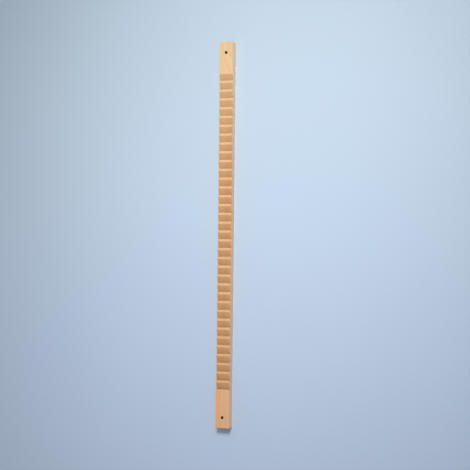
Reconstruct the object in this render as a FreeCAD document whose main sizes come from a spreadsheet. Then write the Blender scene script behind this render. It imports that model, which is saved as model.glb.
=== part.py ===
import FreeCAD, Part
import math
import os
import Sketcher

# Shoulder finger ladder: a hardwood plank with finger steps cut across its front, held to a wall
# by two screws. Frame: +Z runs up the ladder, the steps face -Y, the wall side lies at y = 0, and
# the origin is its middle.

# Driving dimensions, in millimetres and degrees
SIZES = {
    "board_length": 1390.65,
    "board_width": 50.8,
    "board_depth": 31.75,
    "edge_ease": 0.8,
    "bottom_plain": 139.7,
    "least_top_plain": 101.6,
    "step_pitch": 31.75,
    "step_depth": 9.525,
    "land_height": 7.9375,
    "lip_radius": 1.0,
    "root_radius": 0.5,
    "screw_inset": 38.1,
    "screw_length": 63.5,
    "head_diameter": 8.4,
    "head_angle": 82.0,
    "head_sink": 0.3,
    "head_clearance": 0.1,
    "shank_diameter": 3.4,
    "thread_diameter": 4.2,
    "thread_setback": 1.0,
    "tip_length": 6.0,
    "hole_clearance": 0.3,
    "recess_span": 4.2,
    "recess_slot": 1.1,
    "recess_depth": 1.6,
}

doc = FreeCAD.newDocument("finger_ladder")
sheet = doc.addObject("Spreadsheet::Sheet", "Dims")
for row, (alias, value) in enumerate(SIZES.items(), start=1):
    sheet.set(f"A{row}", alias)
    sheet.set(f"B{row}", str(value))
    sheet.setAlias(f"B{row}", alias)
doc.recompute()

# Sizes that follow from the driving ones, as expressions on the sheet
NOTCH_HEIGHT = "(Dims.step_pitch - Dims.land_height)"
STEP_ROOM = "(Dims.board_length - Dims.bottom_plain - Dims.least_top_plain + Dims.land_height)"
STEP_COUNT = f"floor({STEP_ROOM} / Dims.step_pitch)"
LEDGE_DROP = "(Dims.board_length / 2 - Dims.bottom_plain)"
SCREW_HEIGHT = "(Dims.board_length / 2 - Dims.screw_inset)"
HOLE_DIAMETER = "(Dims.thread_diameter + 2 * Dims.hole_clearance)"
HEAD_SLOPE = "tan(Dims.head_angle / 2)"
SINK_DIAMETER = f"(Dims.head_diameter + 2 * (Dims.head_clearance + Dims.head_sink * {HEAD_SLOPE}))"
HEAD_HEIGHT = f"((Dims.head_diameter - Dims.shank_diameter) / 2 / {HEAD_SLOPE})"
THREAD_START = "(Dims.board_depth - Dims.head_sink + Dims.thread_setback)"


def worked_out(expression):
    """The present value of an expression on the sheet, for drawing a sketch near its final shape."""
    return float(sheet.evalExpression(expression))


def origin_part(body, role):
    """One of a body's own origin planes or axes."""
    return next(part for part in body.Origin.OriginFeatures if part.Role == role)


def new_sketch(body, name, plane):
    """An empty sketch on one of the body's origin planes."""
    sketch = body.newObject("Sketcher::SketchObject", name)
    sketch.AttachmentSupport = (origin_part(body, plane), [""])
    sketch.MapMode = "FlatFace"
    return sketch


def draw_outline(sketch, corners):
    """Closed straight-sided outline through the corners. Gives its sides in their order."""
    ends = corners[1:] + corners[:1]
    sides = [
        sketch.addGeometry(Part.LineSegment(FreeCAD.Vector(*start), FreeCAD.Vector(*end)))
        for start, end in zip(corners, ends)
    ]
    for side, following in zip(sides, sides[1:] + sides[:1]):
        sketch.addConstraint(Sketcher.Constraint("Coincident", side, 2, following, 1))
    return sides


def level_sides(sketch, flat, upright):
    """Keeps the named sides of an outline horizontal and vertical."""
    for side in flat:
        sketch.addConstraint(Sketcher.Constraint("Horizontal", side))
    for side in upright:
        sketch.addConstraint(Sketcher.Constraint("Vertical", side))


def drive(sketch, name, expression, kind, *where):
    """Adds a named dimension to a sketch and ties it to the sheet."""
    index = sketch.addConstraint(Sketcher.Constraint(kind, *where, worked_out(expression)))
    sketch.renameConstraint(index, name)
    sketch.setExpression(f"Constraints.{name}", expression)


def centred_rectangle(sketch, wide, tall):
    """A rectangle about the sketch's own origin."""
    half_wide = worked_out(wide) / 2
    half_tall = worked_out(tall) / 2
    low, right, high, left = draw_outline(sketch, [
        (-half_wide, -half_tall),
        (half_wide, -half_tall),
        (half_wide, half_tall),
        (-half_wide, half_tall),
    ])
    level_sides(sketch, flat=(low, high), upright=(left, right))
    sketch.addConstraint(Sketcher.Constraint("Symmetric", low, 1, right, 2, -1, 1))
    drive(sketch, "wide", wide, "DistanceX", low, 1, low, 2)
    drive(sketch, "tall", tall, "DistanceY", right, 1, right, 2)


# The plank: one length of hardwood, planed square, with every edge eased by a round-over
board = doc.addObject("PartDesign::Body", "ladder_board")
section = new_sketch(board, "plank_section", "XY_Plane")
section.setExpression("AttachmentOffset.Base.y", "-Dims.board_depth / 2")
centred_rectangle(section, "Dims.board_width", "Dims.board_depth")
plank = board.newObject("PartDesign::Pad", "plank")
plank.Profile = section
plank.SideType = "Symmetric"
plank.setExpression("Length", "Dims.board_length")
doc.recompute()
eased = board.newObject("PartDesign::Fillet", "eased_edges")
eased.Base = (plank, [""])
eased.UseAllEdges = True
eased.setExpression("Radius", "Dims.edge_ease")


def draw_notch(sketch):
    """Section of one finger step, seen from the side: a flat ledge with a rounded lip in front, and
    a straight slope that runs from the root of the ledge up to the front of the next land."""
    front = -worked_out("Dims.board_depth")
    ledge = -worked_out(LEDGE_DROP)
    root = front + worked_out("Dims.step_depth")
    top = ledge + worked_out(NOTCH_HEIGHT)
    outside = front - worked_out("Dims.step_depth")
    lip = worked_out("Dims.lip_radius")
    hollow = worked_out("Dims.root_radius")
    slope_turn = math.atan2(root - front, top - ledge)
    run_in = hollow / math.tan((math.pi / 2 - slope_turn) / 2)
    root_start = FreeCAD.Vector(root - run_in, ledge)
    up_slope = FreeCAD.Vector(-math.sin(slope_turn), math.cos(slope_turn))
    slope_start = FreeCAD.Vector(root, ledge) + up_slope * run_in
    slope_end = FreeCAD.Vector(front, top)
    lip_low = FreeCAD.Vector(front, ledge - lip)
    lip_high = FreeCAD.Vector(front + lip, ledge)
    far_top = FreeCAD.Vector(outside, top)
    far_low = FreeCAD.Vector(outside, ledge - lip)
    root_circle = Part.Circle(root_start + FreeCAD.Vector(0, hollow), FreeCAD.Vector(0, 0, 1), hollow)
    lip_circle = Part.Circle(lip_high - FreeCAD.Vector(0, lip), FreeCAD.Vector(0, 0, 1), lip)

    ledge_line = sketch.addGeometry(Part.LineSegment(lip_high, root_start))
    root_arc = sketch.addGeometry(Part.ArcOfCircle(root_circle, -math.pi / 2, slope_turn))
    slope_line = sketch.addGeometry(Part.LineSegment(slope_start, slope_end))
    top_line = sketch.addGeometry(Part.LineSegment(slope_end, far_top))
    far_line = sketch.addGeometry(Part.LineSegment(far_top, far_low))
    low_line = sketch.addGeometry(Part.LineSegment(far_low, lip_low))
    lip_arc = sketch.addGeometry(Part.ArcOfCircle(lip_circle, math.pi / 2, math.pi))
    corner = sketch.addGeometry(Part.Point(FreeCAD.Vector(root, ledge)), True)

    level_sides(sketch, flat=(ledge_line, top_line, low_line), upright=(far_line,))
    for kind, *where in (
        ("Tangent", ledge_line, 2, root_arc, 1),
        ("Tangent", root_arc, 2, slope_line, 1),
        ("Tangent", lip_arc, 1, ledge_line, 1),
        ("Coincident", slope_line, 2, top_line, 1),
        ("Coincident", top_line, 2, far_line, 1),
        ("Coincident", far_line, 2, low_line, 1),
        ("Coincident", low_line, 2, lip_arc, 2),
        ("Horizontal", lip_arc, 3, lip_arc, 2),
        ("Vertical", lip_arc, 2, slope_line, 2),
        ("PointOnObject", corner, 1, ledge_line),
        ("PointOnObject", corner, 1, slope_line),
    ):
        sketch.addConstraint(Sketcher.Constraint(kind, *where))
    drive(sketch, "front", "Dims.board_depth", "DistanceX", slope_line, 2, -1, 1)
    drive(sketch, "ledge_drop", LEDGE_DROP, "DistanceY", corner, 1, -1, 1)
    drive(sketch, "depth", "Dims.step_depth", "DistanceX", slope_line, 2, corner, 1)
    drive(sketch, "height", NOTCH_HEIGHT, "DistanceY", corner, 1, slope_line, 2)
    drive(sketch, "run_out", "Dims.step_depth", "DistanceX", top_line, 2, top_line, 1)
    drive(sketch, "lip", "Dims.lip_radius", "Radius", lip_arc)
    drive(sketch, "root", "Dims.root_radius", "Radius", root_arc)


# The finger steps: one notch right across the front, repeated up the plank
notch_section = new_sketch(board, "notch_section", "YZ_Plane")
draw_notch(notch_section)
lowest_notch = board.newObject("PartDesign::Pocket", "lowest_notch")
lowest_notch.Profile = notch_section
lowest_notch.Type = "ThroughAll"
lowest_notch.SideType = "Symmetric"
doc.recompute()
steps = board.newObject("PartDesign::LinearPattern", "finger_steps")
steps.Originals = [lowest_notch]
steps.Direction = (origin_part(board, "Z_Axis"), [""])
steps.Mode = "Spacing"
steps.setExpression("Offset", "Dims.step_pitch")
steps.setExpression("Occurrences", STEP_COUNT)
board.Tip = steps
doc.recompute()

# The screw holes: one near each end on the centre line, countersunk from the front
hole_centres = new_sketch(board, "hole_centres", "XZ_Plane")
hole_centres.setExpression("AttachmentOffset.Base.z", "Dims.board_depth")
for height in (worked_out(SCREW_HEIGHT), -worked_out(SCREW_HEIGHT)):
    centre = FreeCAD.Vector(0, height)
    hole_centres.addGeometry(Part.Circle(centre, FreeCAD.Vector(0, 0, 1), worked_out(HOLE_DIAMETER) / 2))
hole_centres.addConstraint(Sketcher.Constraint("PointOnObject", 0, 3, -2))
hole_centres.addConstraint(Sketcher.Constraint("Symmetric", 0, 3, 1, 3, -1, 1))
hole_centres.addConstraint(Sketcher.Constraint("Equal", 0, 1))
drive(hole_centres, "height", SCREW_HEIGHT, "DistanceY", -1, 1, 0, 3)
drive(hole_centres, "bore", HOLE_DIAMETER, "Diameter", 0)
doc.recompute()
holes = board.newObject("PartDesign::Hole", "screw_holes")
holes.Profile = hole_centres
holes.DepthType = "ThroughAll"
holes.HoleCutType = "Countersink"
holes.HoleCutCustomValues = True
holes.setExpression("Diameter", HOLE_DIAMETER)
holes.setExpression("HoleCutDiameter", SINK_DIAMETER)
holes.setExpression("HoleCutCountersinkAngle", "Dims.head_angle")
board.Tip = holes
doc.recompute()


def draw_screw_profile(sketch):
    """Half section of a flat-head screw: head cone, plain shank, thread envelope and point."""
    head = worked_out("Dims.head_diameter") / 2
    shank = worked_out("Dims.shank_diameter") / 2
    thread = worked_out("Dims.thread_diameter") / 2
    neck = worked_out(HEAD_HEIGHT)
    start = worked_out(THREAD_START)
    end = worked_out("Dims.screw_length")
    shoulder = end - worked_out("Dims.tip_length")
    face, cone, plain_line, shoulder_line, thread_line, point_line, axis = draw_outline(sketch, [
        (0, 0),
        (0, head),
        (neck, shank),
        (start, shank),
        (start, thread),
        (shoulder, thread),
        (end, 0),
    ])
    level_sides(sketch, flat=(plain_line, thread_line, axis), upright=(face, shoulder_line))
    sketch.addConstraint(Sketcher.Constraint("Coincident", face, 1, -1, 1))
    drive(sketch, "head", "Dims.head_diameter / 2", "DistanceY", -1, 1, face, 2)
    drive(sketch, "neck", HEAD_HEIGHT, "DistanceX", -1, 1, cone, 2)
    drive(sketch, "shank", "Dims.shank_diameter / 2", "DistanceY", -1, 1, plain_line, 1)
    drive(sketch, "thread_start", THREAD_START, "DistanceX", -1, 1, shoulder_line, 1)
    drive(sketch, "thread", "Dims.thread_diameter / 2", "DistanceY", -1, 1, thread_line, 1)
    drive(sketch, "point", "Dims.tip_length", "DistanceX", point_line, 1, point_line, 2)
    drive(sketch, "length", "Dims.screw_length", "DistanceX", -1, 1, point_line, 2)


def make_screw(name, height):
    """One wall screw, turned about its axis, with a cross recess, set in its hole at a height."""
    screw = doc.addObject("PartDesign::Body", name)
    profile = new_sketch(screw, f"{name}_profile", "YZ_Plane")
    draw_screw_profile(profile)
    turned = screw.newObject("PartDesign::Revolution", f"{name}_turned")
    turned.Profile = profile
    turned.ReferenceAxis = (profile, ["H_Axis"])
    turned.Angle = 360
    doc.recompute()
    for way, wide, tall in (
        ("level", "Dims.recess_span", "Dims.recess_slot"),
        ("upright", "Dims.recess_slot", "Dims.recess_span"),
    ):
        slot = new_sketch(screw, f"{name}_{way}_slot", "XZ_Plane")
        centred_rectangle(slot, wide, tall)
        recess = screw.newObject("PartDesign::Pocket", f"{name}_{way}_recess")
        recess.Profile = slot
        recess.setExpression("Length", "Dims.recess_depth")
        doc.recompute()
    screw.setExpression("Placement.Base.y", "Dims.head_sink - Dims.board_depth")
    screw.setExpression("Placement.Base.z", height)
    return screw


# The two wall screws, their heads just under the front face and their threads behind the board
upper_screw = make_screw("upper_screw", SCREW_HEIGHT)
lower_screw = make_screw("lower_screw", f"-{SCREW_HEIGHT}")
doc.recompute()

# Every object sound, every cut really cut, and every piece one valid solid before it is written
CUTS = ("PartDesign::Pocket", "PartDesign::LinearPattern", "PartDesign::Hole")
pieces = (board, upper_screw, lower_screw)
faults = [f"{each.Name} failed" for each in doc.Objects if {"Invalid", "Error"} & set(each.State)]
for each in doc.Objects:
    if each.TypeId in CUTS and each.Shape.Volume >= each.BaseFeature.Shape.Volume:
        faults.append(f"{each.Name} cuts nothing")
for piece in pieces:
    if piece.Shape.isNull() or not piece.Shape.isValid() or len(piece.Shape.Solids) != 1:
        faults.append(f"{piece.Label} is not one valid solid")
if faults:
    raise RuntimeError("; ".join(faults))

os.makedirs("parts", exist_ok=True)
for piece in pieces:
    piece.Shape.exportStep(f"parts/{piece.Label}.step")
    box = piece.Shape.BoundBox
    print(f"{piece.Label}: {box.XLength:.2f} x {box.YLength:.2f} x {box.ZLength:.2f} mm")
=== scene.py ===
import math

import bmesh
import bpy
from mathutils import Matrix, Vector


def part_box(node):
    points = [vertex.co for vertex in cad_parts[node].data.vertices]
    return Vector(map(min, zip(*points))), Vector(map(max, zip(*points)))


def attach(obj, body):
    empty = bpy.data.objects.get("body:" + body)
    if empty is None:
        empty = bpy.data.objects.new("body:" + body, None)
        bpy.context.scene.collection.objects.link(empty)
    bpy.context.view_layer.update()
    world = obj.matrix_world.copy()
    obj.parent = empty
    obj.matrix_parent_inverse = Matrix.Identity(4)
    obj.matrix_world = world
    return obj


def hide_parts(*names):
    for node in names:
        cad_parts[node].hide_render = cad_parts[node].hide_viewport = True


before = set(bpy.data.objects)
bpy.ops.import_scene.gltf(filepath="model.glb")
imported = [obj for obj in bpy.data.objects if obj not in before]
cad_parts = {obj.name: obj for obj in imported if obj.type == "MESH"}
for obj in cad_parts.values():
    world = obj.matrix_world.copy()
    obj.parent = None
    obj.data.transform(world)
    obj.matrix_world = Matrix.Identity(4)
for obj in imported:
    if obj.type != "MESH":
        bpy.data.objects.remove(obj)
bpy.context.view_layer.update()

# The plank: one length of pale, close-grained hardwood, planed square, with 36 finger steps milled
# straight across its front. Each step is a level ledge under a slope that runs out to a narrow land.
# A countersunk hole near each end takes a screw; every edge is then sanded round.
BOARD_LOW, BOARD_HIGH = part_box("ladder_board")
SCREW_LOW, SCREW_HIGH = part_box("upper_screw")
BOARD_FRONT = BOARD_LOW.y
BOARD_BACK = BOARD_HIGH.y
BOARD_WIDTH = BOARD_HIGH.x - BOARD_LOW.x
BOTTOM_PLAIN = 0.1397
STEP_COUNT = 36
STEP_PITCH = 0.03175
STEP_DEPTH = 0.009525
LAND_HEIGHT = 0.0079375
LIP_ROUND = 0.001
ROOT_ROUND = 0.0005
BROW_ROUND = 0.0006
EDGE_ROUND = 0.0008
ROUND_SEGMENTS = 4
HOLE_RADIUS = 0.0024
SINK_RADIUS = 0.00456
SINK_HALF_ANGLE = math.radians(41.0)
SINK_WORN = 0.0005
PAST_FACE = 0.001
SPIN_STEPS = 64
SMOOTH_UNDER = math.radians(40.0)
CLOSE = 0.00001
SLIVER = 0.000001

NOTCH_HEIGHT = STEP_PITCH - LAND_HEIGHT
LEDGES = [BOARD_LOW.z + BOTTOM_PLAIN + step * STEP_PITCH for step in range(STEP_COUNT)]
ROOT_DEPTH = BOARD_FRONT + STEP_DEPTH
ROOT_ANGLE = math.atan2(NOTCH_HEIGHT, STEP_DEPTH)
ROOT_REACH = ROOT_ROUND / math.tan(ROOT_ANGLE / 2)
SINK_DEPTH = (SINK_RADIUS - HOLE_RADIUS) / math.tan(SINK_HALF_ANGLE)
SCREW_HEIGHT = (SCREW_LOW.z + SCREW_HIGH.z) / 2


def select_only(piece):
    """Makes a piece the one that the next operator acts on."""
    bpy.ops.object.select_all(action="DESELECT")
    piece.select_set(True)
    bpy.context.view_layer.objects.active = piece


def draw_line(name, corners):
    """A new mesh in edit mode: one vertex at the first corner, extruded on through the others."""
    bpy.ops.object.select_all(action="DESELECT")
    bpy.ops.mesh.primitive_plane_add(location=corners[0], calc_uvs=False)
    piece = bpy.context.object
    piece.name = name
    bpy.ops.object.transform_apply()
    bpy.ops.object.mode_set(mode="EDIT")
    bpy.ops.mesh.select_mode(type="VERT")
    bpy.ops.mesh.merge(type="CENTER")
    for here, there in zip(corners, corners[1:]):
        stroke = Vector(there) - Vector(here)
        bpy.ops.mesh.extrude_vertices_move(TRANSFORM_OT_translate={"value": stroke})
    bpy.ops.mesh.select_all(action="SELECT")
    return piece


def turn_outwards():
    """Closes the seams of the mesh in edit mode and points its faces outwards."""
    bpy.ops.mesh.select_all(action="SELECT")
    bpy.ops.mesh.remove_doubles(threshold=SLIVER)
    bpy.ops.mesh.normals_make_consistent(inside=False)


def spin_round(height):
    """Turns the line in edit mode into a closed round body about a Y axis at that height."""
    bpy.ops.mesh.spin(steps=SPIN_STEPS, angle=math.tau, center=(0, 0, height), axis=(0, 1, 0))
    turn_outwards()
    bpy.ops.object.mode_set(mode="OBJECT")


def round_edges(piece, wanted, reach):
    """Bevels the edges whose two ends satisfy wanted, reach being the round's run from the edge."""
    bpy.ops.mesh.select_mode(type="EDGE")
    bpy.ops.mesh.select_all(action="DESELECT")
    mesh = bmesh.from_edit_mesh(piece.data)
    for edge in mesh.edges:
        edge.select_set(wanted(edge.verts[0].co, edge.verts[1].co))
    bmesh.update_edit_mesh(piece.data)
    bpy.ops.mesh.bevel(offset=reach, segments=ROUND_SEGMENTS, affect="EDGES")


def combine(piece, other, operation):
    """Cuts another mesh out of a piece, or joins it on, and removes the other."""
    joining = piece.modifiers.new(operation, "BOOLEAN")
    joining.operation = operation
    joining.solver = "MANIFOLD"
    joining.object = other
    bpy.context.view_layer.objects.active = piece
    bpy.ops.object.modifier_apply(modifier=joining.name)
    bpy.data.objects.remove(other)


def smooth_faces(piece):
    """Clears the slivers that cutting leaves, shades the rounds smooth and keeps flat faces flat."""
    select_only(piece)
    bpy.ops.object.mode_set(mode="EDIT")
    bpy.ops.mesh.select_all(action="SELECT")
    bpy.ops.mesh.dissolve_degenerate(threshold=SLIVER)
    turn_outwards()
    bpy.ops.object.mode_set(mode="OBJECT")
    bpy.ops.object.shade_smooth_by_angle(angle=SMOOTH_UNDER)
    weighing = piece.modifiers.new("flat_faces_first", "WEIGHTED_NORMAL")
    weighing.keep_sharp = True
    bpy.ops.object.modifier_apply(modifier=weighing.name)


def near_any(value, levels):
    """True where a value is one of the levels, or very close to it."""
    return min(abs(value - level) for level in levels) < CLOSE


def across_plank(first, second):
    """True for an edge that runs straight across the plank."""
    return (first - second).yz.length < CLOSE


def is_lip(first, second):
    """The front edge of each ledge."""
    on_line = near_any(first.y, [BOARD_FRONT]) and near_any(first.z, LEDGES)
    return across_plank(first, second) and on_line


def is_root(first, second):
    """The inner edge of each ledge, where the slope begins."""
    on_line = near_any(first.y, [ROOT_DEPTH]) and near_any(first.z, LEDGES)
    return across_plank(first, second) and on_line


def is_brow(first, second):
    """The edge where each slope runs out to its land."""
    on_line = near_any(first.y, [BOARD_FRONT]) and near_any(first.z - NOTCH_HEIGHT, LEDGES)
    return across_plank(first, second) and on_line


def is_outer(first, second):
    """The edges of both narrow sides and of both ends."""
    on_side = near_any(first.x, [BOARD_LOW.x, BOARD_HIGH.x]) and near_any(second.x, [first.x])
    at_end = near_any(first.z, [BOARD_LOW.z, BOARD_HIGH.z])
    return on_side or (at_end and across_plank(first, second))


outline = [(BOARD_LOW.x, BOARD_BACK, BOARD_LOW.z), (BOARD_LOW.x, BOARD_FRONT, BOARD_LOW.z)]
for ledge in LEDGES:
    outline.append((BOARD_LOW.x, BOARD_FRONT, ledge))
    outline.append((BOARD_LOW.x, ROOT_DEPTH, ledge))
    outline.append((BOARD_LOW.x, BOARD_FRONT, ledge + NOTCH_HEIGHT))
outline.append((BOARD_LOW.x, BOARD_FRONT, BOARD_HIGH.z))
outline.append((BOARD_LOW.x, BOARD_BACK, BOARD_HIGH.z))

plank = draw_line("stepped_plank", outline)
bpy.ops.mesh.edge_face_add()
bpy.ops.mesh.extrude_region_move(TRANSFORM_OT_translate={"value": (BOARD_WIDTH, 0, 0)})
turn_outwards()
round_edges(plank, is_lip, LIP_ROUND)
round_edges(plank, is_root, ROOT_REACH)
round_edges(plank, is_brow, BROW_ROUND)
round_edges(plank, is_outer, EDGE_ROUND)
for ledge in LEDGES:
    bpy.ops.mesh.select_all(action="SELECT")
    bpy.ops.mesh.bisect(plane_co=(0, 0, ledge - LAND_HEIGHT / 2), plane_no=(0, 0, 1))
bpy.ops.object.mode_set(mode="OBJECT")

for height in (SCREW_HEIGHT, -SCREW_HEIGHT):
    drill = draw_line("countersink_drill", [
        (0, BOARD_FRONT - PAST_FACE, height),
        (SINK_RADIUS + SINK_WORN, BOARD_FRONT - PAST_FACE, height),
        (SINK_RADIUS + SINK_WORN, BOARD_FRONT, height),
        (SINK_RADIUS, BOARD_FRONT + SINK_WORN / 2, height),
        (HOLE_RADIUS, BOARD_FRONT + SINK_DEPTH, height),
        (HOLE_RADIUS, BOARD_BACK + PAST_FACE, height),
        (0, BOARD_BACK + PAST_FACE, height),
    ])
    spin_round(height)
    combine(plank, drill, "DIFFERENCE")
smooth_faces(plank)

# The plank's finish: maple-like wood under a thin satin lacquer. Growth rings run round a pith well
# behind the board, so the face shows faint upright lines; fine fibres and short pores follow them.
# Milled slopes and ledges cut across the fibres, so they are darker, and their tint also holds painted
# shade that deepens lower down. The narrow sides are painted paler, a painted highlight for the light
# they catch.
PALE_WOOD = (0.79, 0.54, 0.285, 1)
WARM_WOOD = (0.86, 0.435, 0.198, 1)
SIDE_LIGHT_WOOD = (0.90, 0.70, 0.51, 1)
LATE_WOOD = (0.67, 0.36, 0.16, 1)
FIBRE_WOOD = (0.71, 0.39, 0.185, 1)
PORE_WOOD = (0.50, 0.25, 0.10, 1)
PALE_CUT_AND_SHADE_TINT = (0.99, 0.855, 0.74, 1)
WARM_CUT_AND_SHADE_TINT = (0.82, 0.785, 0.70, 1)
END_TINT = (0.48, 0.50, 0.53, 1)
ROOT_PAINTED_SHADE = (0.905, 0.96, 0.99, 1)
SINK_SHADE_TINT = (0.07, 0.045, 0.03, 1)
PALE_SIDE_LIGHT_SHARE = 0.75
WARM_SIDE_LIGHT_SHARE = 0.45
LATE_SHARE = 0.42
FIBRE_SHARE = 0.30
PORE_SHARE = 0.35

# Where the pith lies, and how the rings, the warmth and the marks run over the board.
PITH_X = 0.022
PITH_Y = 0.085
PITH_LEAN = 0.012
RING_WIDTH = 0.0031
RING_WANDER = 0.022
LATE_SHARPNESS = 4
WARMING_PER_METRE = 0.556
DRIFT_WARMTH = 1.7
CUTTER_MARK = 0.0006
SINK_SHADE_REACH = 0.002

# Blobs of noise to the metre along x, y and z, and the stretches over which things come to show.
WANDER_BLOBS = (9.0, 9.0, 2.6)
FIBRE_BLOBS = (900.0, 900.0, 9.0)
PORE_BLOBS = (2300.0, 2300.0, 160.0)
DRIFT_BLOBS = (26.0, 26.0, 1.6)
NOISE_MIDDLE = 0.5
FIBRE_SEEN = (0.45, 0.75)
PORE_SEEN = (0.64, 0.74)
CUTTER_SEEN = (0.3, 0.7)
WARMTH_RANGE = (-0.5, 0.5)
SIDE_TURN = (0.5, 0.9)
END_TURN = (0.6, 0.95)

# Gloss and relief: the lacquer is satin on the faces, and the open end grain soaks it up and stays matt.
LACQUER_ROUGHNESS = 0.40
FIBRE_ROUGHNESS = 0.16
CUT_ROUGHNESS = 0.10
END_ROUGHNESS = 0.32
COAT_WEIGHT = 0.22
COAT_ROUGHNESS = 0.28
FIBRE_RELIEF = 0.5
LATE_RELIEF = 0.3
CUTTER_RELIEF = 0.5
GRAIN_STRENGTH = 0.35
GRAIN_DEPTH = 0.00012

# The sockets of a Mix node that takes colours.
MIX_SHARE, MIX_FIRST, MIX_SECOND, MIX_RESULT = 0, 6, 7, 2


class Wire:
    """A socket of a material's nodes. Sums on it add Math nodes, and add() brings any other node."""

    def __init__(self, tree, socket):
        self.tree = tree
        self.socket = socket

    def add(self, kind, settings, values, out=0):
        node = self.tree.nodes.new(kind)
        for name, setting in settings.items():
            setattr(node, name, setting)
        for key, value in values.items():
            if isinstance(value, Wire):
                self.tree.links.new(value.socket, node.inputs[key])
            else:
                node.inputs[key].default_value = value
        return Wire(self.tree, node.outputs[out])

    def pin(self, name):
        return Wire(self.tree, self.socket.node.outputs[name])

    def math(self, operation, first, second):
        return self.add("ShaderNodeMath", {"operation": operation}, {0: first, 1: second})

    def __add__(self, other):
        return self.math("ADD", self, other)

    def __radd__(self, other):
        return self.math("ADD", other, self)

    def __sub__(self, other):
        return self.math("SUBTRACT", self, other)

    def __rsub__(self, other):
        return self.math("SUBTRACT", other, self)

    def __mul__(self, other):
        return self.math("MULTIPLY", self, other)

    def __rmul__(self, other):
        return self.math("MULTIPLY", other, self)

    def __truediv__(self, other):
        return self.math("DIVIDE", self, other)

    def __pow__(self, other):
        return self.math("POWER", self, other)

    def __mod__(self, other):
        return self.math("FLOORED_MODULO", self, other)

    def __abs__(self):
        return self.math("ABSOLUTE", self, 0.0)


def new_finish(name):
    """A material with its shader node and the object's own coordinates."""
    finish = bpy.data.materials.new(name)
    finish.use_nodes = True
    shader = finish.node_tree.nodes["Principled BSDF"]
    start = Wire(finish.node_tree, shader.outputs[0])
    return finish, shader, start.add("ShaderNodeTexCoord", {}, {}, "Object")


def feed(shader, name, wire):
    """Links a wire to one of a shader's sockets."""
    wire.tree.links.new(wire.socket, shader.inputs[name])


def parts(vector):
    """The x, y and z of a vector."""
    axes = vector.add("ShaderNodeSeparateXYZ", {}, {0: vector})
    return axes.pin("X"), axes.pin("Y"), axes.pin("Z")


def length(first, second):
    """The length that two distances at right angles make."""
    return (first ** 2 + second ** 2) ** 0.5


def stretched_noise(place, per_metre, detail):
    """Noise with so many blobs to the metre along x, y and z."""
    spread = place.add("ShaderNodeVectorMath", {"operation": "MULTIPLY"}, {0: place, 1: per_metre})
    return place.add("ShaderNodeTexNoise", {}, {"Vector": spread, "Scale": 1.0, "Detail": detail})


def ramp(wire, low, high):
    """0 below low, 1 above high and smooth between."""
    settings = {"interpolation_type": "SMOOTHSTEP"}
    return wire.add("ShaderNodeMapRange", settings, {"Value": wire, "From Min": low, "From Max": high})


def blend(share, first, second):
    """Mixes two colours, share being how much there is of the second."""
    settings = {"data_type": "RGBA"}
    colours = {MIX_SHARE: share, MIX_FIRST: first, MIX_SECOND: second}
    return share.add("ShaderNodeMix", settings, colours, MIX_RESULT)


def tint(share, colour, tone):
    """Multiplies a colour by a tone, as a stain does."""
    settings = {"data_type": "RGBA", "blend_type": "MULTIPLY"}
    colours = {MIX_SHARE: share, MIX_FIRST: colour, MIX_SECOND: tone}
    return share.add("ShaderNodeMix", settings, colours, MIX_RESULT)


def bump(height, strength, distance):
    """Tilts the surface by the slope of its relief, which is distance deep."""
    values = {"Strength": strength, "Distance": distance, "Height": height}
    return height.add("ShaderNodeBump", {}, values)


wood, wood_shader, place = new_finish("lacquered_hardwood")
x, y, z = parts(place)
face_x, _, face_z = parts(place.add("ShaderNodeNewGeometry", {}, {}, "True Normal"))

wander = (stretched_noise(place, WANDER_BLOBS, detail=2.0) - NOISE_MIDDLE) * RING_WANDER
from_pith = length(x - PITH_X + z * PITH_LEAN + wander, y - PITH_Y + wander)
late = (from_pith / RING_WIDTH % 1.0) ** LATE_SHARPNESS
fibre = stretched_noise(place, FIBRE_BLOBS, detail=3.0)
pore = ramp(stretched_noise(place, PORE_BLOBS, detail=1.0), *PORE_SEEN)
drift = stretched_noise(place, DRIFT_BLOBS, detail=2.0)
warmth = ramp((drift - NOISE_MIDDLE) * DRIFT_WARMTH - z * WARMING_PER_METRE, *WARMTH_RANGE)

side_face = ramp(abs(face_x), *SIDE_TURN)
end_grain = ramp(abs(face_z), *END_TURN)
past_front = ramp(y, BOARD_FRONT, BOARD_FRONT + BROW_ROUND) * (1 - side_face)
milled = past_front * (1 - ramp(y, ROOT_DEPTH, ROOT_DEPTH + BROW_ROUND))
cut = milled + end_grain - milled * end_grain
# Painted shade: the slopes darken towards each step's root, deep in the recess.
root_shade_share = ramp(y, BOARD_FRONT, ROOT_DEPTH) * (cut - end_grain)
# Painted shade: a ragged dark ring round each countersink, on the front face only, for the hole's
# shadow.
from_hole = length(x, abs(z) - SCREW_HEIGHT)
ragged = from_hole + (fibre - NOISE_MIDDLE) * SINK_SHADE_REACH
sink_shade = 1 - ramp(ragged, SINK_RADIUS, SINK_RADIUS + SINK_SHADE_REACH)
sink_shade = sink_shade * (1 - ramp(y, BOARD_FRONT, BOARD_FRONT + SINK_DEPTH * 2))

side_light_share = PALE_SIDE_LIGHT_SHARE - warmth * (PALE_SIDE_LIGHT_SHARE - WARM_SIDE_LIGHT_SHARE)
colour = blend(warmth, PALE_WOOD, WARM_WOOD)
# Painted highlight: the narrow sides are painted paler to stand for the light they catch.
colour = blend(side_face * side_light_share, colour, SIDE_LIGHT_WOOD)
colour = blend(late * LATE_SHARE, colour, LATE_WOOD)
colour = blend(ramp(fibre, *FIBRE_SEEN) * FIBRE_SHARE, colour, FIBRE_WOOD)
colour = blend(pore * PORE_SHARE, colour, PORE_WOOD)
# Cross-cut fibre darkens the milled faces and ends; the tint also holds painted shade, deeper lower
# down.
colour = tint(cut, colour, blend(warmth, PALE_CUT_AND_SHADE_TINT, WARM_CUT_AND_SHADE_TINT))
colour = tint(end_grain, colour, END_TINT)
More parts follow.
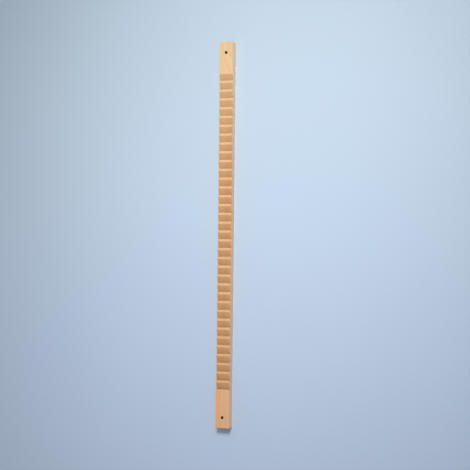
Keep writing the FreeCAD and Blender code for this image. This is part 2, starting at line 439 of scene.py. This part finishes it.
# Painted shade deepening into each step's root.
colour = tint(root_shade_share, colour, ROOT_PAINTED_SHADE)
# The painted shade round the countersinks.
colour = tint(sink_shade, colour, SINK_SHADE_TINT)
feed(wood_shader, "Base Color", colour)
roughness = LACQUER_ROUGHNESS + fibre * FIBRE_ROUGHNESS + cut * CUT_ROUGHNESS
feed(wood_shader, "Roughness", roughness + end_grain * END_ROUGHNESS)
feed(wood_shader, "Coat Weight", (1 - end_grain) * COAT_WEIGHT)
wood_shader.inputs["Coat Roughness"].default_value = COAT_ROUGHNESS

cutter = y.math("SINE", y * (math.tau / CUTTER_MARK), 0)
cutter = cutter * ramp(drift, *CUTTER_SEEN) * (cut - end_grain)
relief = fibre * FIBRE_RELIEF - pore - late * LATE_RELIEF + cutter * CUTTER_RELIEF
feed(wood_shader, "Normal", bump(relief, GRAIN_STRENGTH, GRAIN_DEPTH))
plank.data.materials.clear()
plank.data.materials.append(wood)
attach(plank, "root")
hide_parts("ladder_board")

# The screws: two black flat-head wood screws, headed and rolled from steel wire and then blackened.
# Each head lies in its countersink with its cross recess to the front; the thread and its gimlet
# point stand out behind the plank for the wall's stud or plug.
HEAD_RADIUS = (SCREW_HIGH.x - SCREW_LOW.x) / 2
HEAD_TOP = SCREW_LOW.y
POINT_END = SCREW_HIGH.y
POINT_LENGTH = 0.006
POINT_START = POINT_END - POINT_LENGTH
POINT_TAPER = -0.94
RIM_ROUND = 0.00025
SHANK_RADIUS = 0.0017
CORE_RADIUS = 0.00145
THREAD_RADIUS = 0.0021
THREAD_START = 0.001
THREAD_PITCH = 0.0025
TOOTH_FOOT = 0.0010
TOOTH_CREST = 0.0002
TOOTH_BED = 0.0003
TURN_STEPS = 28
RECESS_SPAN = 0.0042
RECESS_SLOT = 0.0011
RECESS_DEPTH = 0.0016
RECESS_NARROWING = 0.5

# The black finish, darker than blackened steel really is: painted shade for the heads in their
# countersinks.
# Where it is rubbed off: round the recess, at the rim and on the thread's crest.
SHADED_SCREW_BLACK = (0.005, 0.0045, 0.0045, 1)
WORN_STEEL = (0.12, 0.11, 0.10, 1)
EDGE_WEAR = 0.0002
BLOTCH_BLOBS = (900.0, 900.0, 900.0)
WEAR_SEEN = (0.35, 0.7)
WORN_SHARE = 0.4
BLOTCH_SHARE = 0.04
BLACK_ROUGHNESS = 0.50
BLOTCH_ROUGHNESS = 0.25
WORN_POLISH = 0.15
BLACK_SHINE = 0.08
GRIT_STRENGTH = 0.3
GRIT_DEPTH = 0.00003

NECK = HEAD_TOP + RIM_ROUND + (HEAD_RADIUS - SHANK_RADIUS) / math.tan(SINK_HALF_ANGLE)
TOOTH_MIDDLE = THREAD_START + TOOTH_FOOT
THREAD_TURNS = int((POINT_END - TOOTH_MIDDLE - TOOTH_FOOT / 2) / THREAD_PITCH)


def from_point(radius, depth):
    """A corner of the screw's outline, its axis on Y and measured from where the point begins."""
    return (radius, depth - POINT_START, 0)


def recess_blade(turn):
    """One of the two crossed blades that strike the recess, narrower at its inner end."""
    bpy.ops.object.select_all(action="DESELECT")
    bpy.ops.mesh.primitive_cube_add(size=1, location=from_point(0, HEAD_TOP), calc_uvs=False)
    blade = bpy.context.object
    blade.scale = (RECESS_SPAN, RECESS_DEPTH * 2, RECESS_SLOT)
    blade.rotation_euler.y = turn
    bpy.ops.object.transform_apply()
    bpy.ops.object.mode_set(mode="EDIT")
    bpy.ops.mesh.select_mode(type="FACE")
    bpy.ops.mesh.select_all(action="DESELECT")
    mesh = bmesh.from_edit_mesh(blade.data)
    inner_end = max(mesh.faces, key=lambda face: face.calc_center_median().y)
    inner_end.select_set(True)
    bmesh.update_edit_mesh(blade.data)
    narrow = (RECESS_NARROWING, 1, RECESS_NARROWING)
    bpy.ops.transform.resize(value=narrow, center_override=from_point(0, HEAD_TOP + RECESS_DEPTH))
    bpy.ops.object.mode_set(mode="OBJECT")
    return blade


screw = draw_line("upper_wood_screw", [
    from_point(0, HEAD_TOP),
    from_point(HEAD_RADIUS - RIM_ROUND, HEAD_TOP),
    from_point(HEAD_RADIUS, HEAD_TOP + RIM_ROUND),
    from_point(SHANK_RADIUS, NECK),
    from_point(SHANK_RADIUS, THREAD_START),
    from_point(CORE_RADIUS, THREAD_START + TOOTH_FOOT),
    from_point(CORE_RADIUS, POINT_START),
    from_point(CORE_RADIUS, POINT_END),
    from_point(0, POINT_END),
])
spin_round(0)

thread = draw_line("thread", [
    from_point(CORE_RADIUS - TOOTH_BED, TOOTH_MIDDLE - TOOTH_FOOT / 2),
    from_point(THREAD_RADIUS, TOOTH_MIDDLE - TOOTH_CREST / 2),
    from_point(THREAD_RADIUS, TOOTH_MIDDLE + TOOTH_CREST / 2),
    from_point(CORE_RADIUS - TOOTH_BED, TOOTH_MIDDLE + TOOTH_FOOT / 2),
])
bpy.ops.mesh.edge_face_add()
bpy.ops.object.mode_set(mode="OBJECT")
winding = thread.modifiers.new("winding", "SCREW")
winding.axis = "Y"
winding.screw_offset = THREAD_PITCH
winding.iterations = THREAD_TURNS
winding.steps = TURN_STEPS
winding.render_steps = TURN_STEPS
bpy.ops.object.modifier_apply(modifier=winding.name)
bpy.ops.object.mode_set(mode="EDIT")
bpy.ops.mesh.select_all(action="SELECT")
bpy.ops.mesh.fill_holes(sides=0)
turn_outwards()
bpy.ops.object.mode_set(mode="OBJECT")
combine(screw, thread, "UNION")

pointing = screw.modifiers.new("pointing", "SIMPLE_DEFORM")
pointing.deform_method = "TAPER"
pointing.deform_axis = "Y"
pointing.factor = POINT_TAPER
pointing.limits = (1 - POINT_LENGTH / (POINT_END - HEAD_TOP), 1)
bpy.ops.object.modifier_apply(modifier=pointing.name)

recess = recess_blade(0)
combine(recess, recess_blade(math.pi / 2), "UNION")
combine(screw, recess, "DIFFERENCE")
smooth_faces(screw)
screw.location = (0, POINT_START, SCREW_HEIGHT)
bpy.ops.object.transform_apply()

blackened, black_shader, place = new_finish("blackened_steel")
x, depth, z = parts(place)
across = abs(x)
along = abs(abs(z) - SCREW_HEIGHT)
from_axis = length(across, along)
one_slot = across.math("MAXIMUM", across - RECESS_SLOT / 2, along - RECESS_SPAN / 2)
other_slot = across.math("MAXIMUM", along - RECESS_SLOT / 2, across - RECESS_SPAN / 2)
from_recess = abs(across.math("MINIMUM", one_slot, other_slot))
on_top = 1 - ramp(depth, HEAD_TOP, HEAD_TOP + RIM_ROUND)
recess_edge = (1 - ramp(from_recess, 0, EDGE_WEAR)) * on_top
rim = ramp(from_axis, HEAD_RADIUS - RIM_ROUND * 2, HEAD_RADIUS)
crest = ramp(from_axis, CORE_RADIUS, THREAD_RADIUS) * ramp(depth, 0, THREAD_START)
blotch = stretched_noise(place, BLOTCH_BLOBS, detail=3.0)
rubbed = (recess_edge + rim + crest) * ramp(blotch, *WEAR_SEEN)
bare_share = rubbed * WORN_SHARE + blotch * BLOTCH_SHARE
feed(black_shader, "Base Color", blend(bare_share, SHADED_SCREW_BLACK, WORN_STEEL))
feed(black_shader, "Roughness", BLACK_ROUGHNESS + blotch * BLOTCH_ROUGHNESS - rubbed * WORN_POLISH)
black_shader.inputs["Specular IOR Level"].default_value = BLACK_SHINE
feed(black_shader, "Normal", bump(blotch, GRIT_STRENGTH, GRIT_DEPTH))
screw.data.materials.clear()
screw.data.materials.append(blackened)

select_only(screw)
bpy.ops.object.duplicate(linked=False)
lower_screw = bpy.context.object
lower_screw.name = "lower_wood_screw"
lower_screw.location.z = -2 * SCREW_HEIGHT
bpy.ops.object.transform_apply()
for piece, node in ((screw, "upper_screw"), (lower_screw, "lower_screw")):
    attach(piece, "root")
    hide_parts(node)

# The wall and the floor: plain painted plaster, pale blue behind the plank and paler below it.
# The wall's blue is a little deeper lower down, a painted shade for where its light falls off. Each only
# shows to a viewer in front of it, so the back of the ladder can be seen too.
HIGH_BLUE = (0.536, 0.657, 0.770, 1)
LOW_BLUE = (0.539, 0.657, 0.832, 1)
BLUE_REACH = 0.8
FLOOR_GREY = (0.86, 0.89, 0.92, 1)
MOTTLE_TINT = (0.97, 0.97, 0.97, 1)
MOTTLE_BLOBS = (3.0, 3.0, 3.0)
PLASTER_ROUGHNESS = 0.9
WALL_GAP = 0.0001
WALL_SIZE = 4.4
FLOOR_SIZE = 90.0
FLOOR_DROP = 0.9
FLOOR_GLOW = 0.4


def lay_sheet(name, size, place, turn, low_colour, high_colour, glow):
    """A plain sheet of painted plaster that takes shadows and lights nothing; glow keeps it pale."""
    bpy.ops.object.select_all(action="DESELECT")
    bpy.ops.mesh.primitive_plane_add(size=size, location=place, rotation=(turn, 0, 0))
    sheet = bpy.context.object
    sheet.name = name
    bpy.ops.object.transform_apply()
    paint, shader, spot = new_finish(name + "_paint")
    _, _, height = parts(spot)
    colour = blend(ramp(height, -BLUE_REACH, BLUE_REACH), low_colour, high_colour)
    mottle = stretched_noise(spot, MOTTLE_BLOBS, detail=3.0)
    feed(shader, "Base Color", tint(mottle, colour, MOTTLE_TINT))
    shader.inputs["Roughness"].default_value = PLASTER_ROUGHNESS
    shader.inputs["Emission Color"].default_value = low_colour
    shader.inputs["Emission Strength"].default_value = glow
    behind = spot.add("ShaderNodeNewGeometry", {}, {}, "Backfacing")
    clear = spot.add("ShaderNodeBsdfTransparent", {}, {})
    solid = Wire(paint.node_tree, shader.outputs[0])
    shown = spot.add("ShaderNodeMixShader", {}, {0: behind, 1: solid, 2: clear})
    feed(paint.node_tree.nodes["Material Output"], "Surface", shown)
    sheet.data.materials.append(paint)
    sheet.visible_diffuse = False
    sheet.visible_glossy = False
    sheet.visible_shadow = False


lay_sheet("wall", size=WALL_SIZE, place=(0, BOARD_BACK + WALL_GAP, 0), turn=math.pi / 2,
          low_colour=LOW_BLUE, high_colour=HIGH_BLUE, glow=0)
lay_sheet("floor", size=FLOOR_SIZE, place=(0, 0, BOARD_LOW.z - FLOOR_DROP), turn=0,
          low_colour=FLOOR_GREY, high_colour=FLOOR_GREY, glow=FLOOR_GLOW)

# The light: one large soft lamp high in front and a little to the right, with a grid that narrows its
# beam, a weak one high on the right for the narrow side, one behind for the back, and an even fill.
FILL_COLOUR = (0.37, 0.37, 0.38, 1)
BACKDROP_COLOUR = (0.62, 0.73, 0.84, 1)
FRONT_SPREAD = math.radians(38.6)


def hang_lamp(name, place, aim, size, watts):
    """A square soft lamp turned to a point."""
    bpy.ops.object.light_add(type="AREA", location=place)
    lamp = bpy.context.object
    lamp.name = name
    lamp.data.size = size
    lamp.data.energy = watts
    lamp.rotation_euler = (Vector(aim) - Vector(place)).to_track_quat("-Z", "Y").to_euler()
    return lamp


front_lamp = hang_lamp("front_lamp", place=(1.0, -4.0, 2.85), aim=(0.15, 0, 0.21), size=1.54, watts=12.1)
front_lamp.data.spread = FRONT_SPREAD
hang_lamp("side_lamp", place=(1.4, 0.2, 1.9), aim=(0, 0, 0.3), size=0.8, watts=10.5)
hang_lamp("back_lamp", place=(-0.9, 2.4, 1.4), aim=(0, 0, 0), size=1.5, watts=35.0)

world = bpy.data.worlds.new("studio")
world.use_nodes = True
bpy.context.scene.world = world
sky = world.node_tree.nodes["Background"]
sky_start = Wire(world.node_tree, sky.outputs[0])
path = sky_start.add("ShaderNodeLightPath", {}, {})
seen = path.pin("Is Camera Ray") + path.pin("Is Glossy Ray") + path.pin("Is Transmission Ray")
feed(sky, "Color", blend(seen, FILL_COLOUR, BACKDROP_COLOUR))

# The camera: a long lens to the right of the ladder and a little below its middle. It is tipped by less
# than a degree, because the ladder leans a little in the picture.
VIEW_TURN = math.radians(20.4)
VIEW_RISE = math.radians(-0.6)
VIEW_ROLL = math.radians(0.635)
VIEW_AWAY = 3.8
VIEW_FIELD = 1.6917
AIM_RIGHT = 0.0391
AIM_HEIGHT = -0.0005
SENSOR = 36.0

to_right = Vector((math.cos(VIEW_TURN), math.sin(VIEW_TURN), 0))
ahead = Vector((-math.sin(VIEW_TURN), math.cos(VIEW_TURN), -math.tan(VIEW_RISE))).normalized()
aim = Vector((0, BOARD_FRONT, AIM_HEIGHT)) + to_right * AIM_RIGHT
bpy.ops.object.camera_add(location=aim - ahead * VIEW_AWAY)
camera = bpy.context.object
camera.data.sensor_width = SENSOR
camera.data.lens = SENSOR * VIEW_AWAY / VIEW_FIELD
level_turn = ahead.to_track_quat("-Z", "Y").to_matrix()
camera.rotation_euler = (level_turn @ Matrix.Rotation(VIEW_ROLL, 3, "Z")).to_euler()
bpy.context.scene.camera = camera
bpy.context.scene.view_settings.view_transform = "Standard"
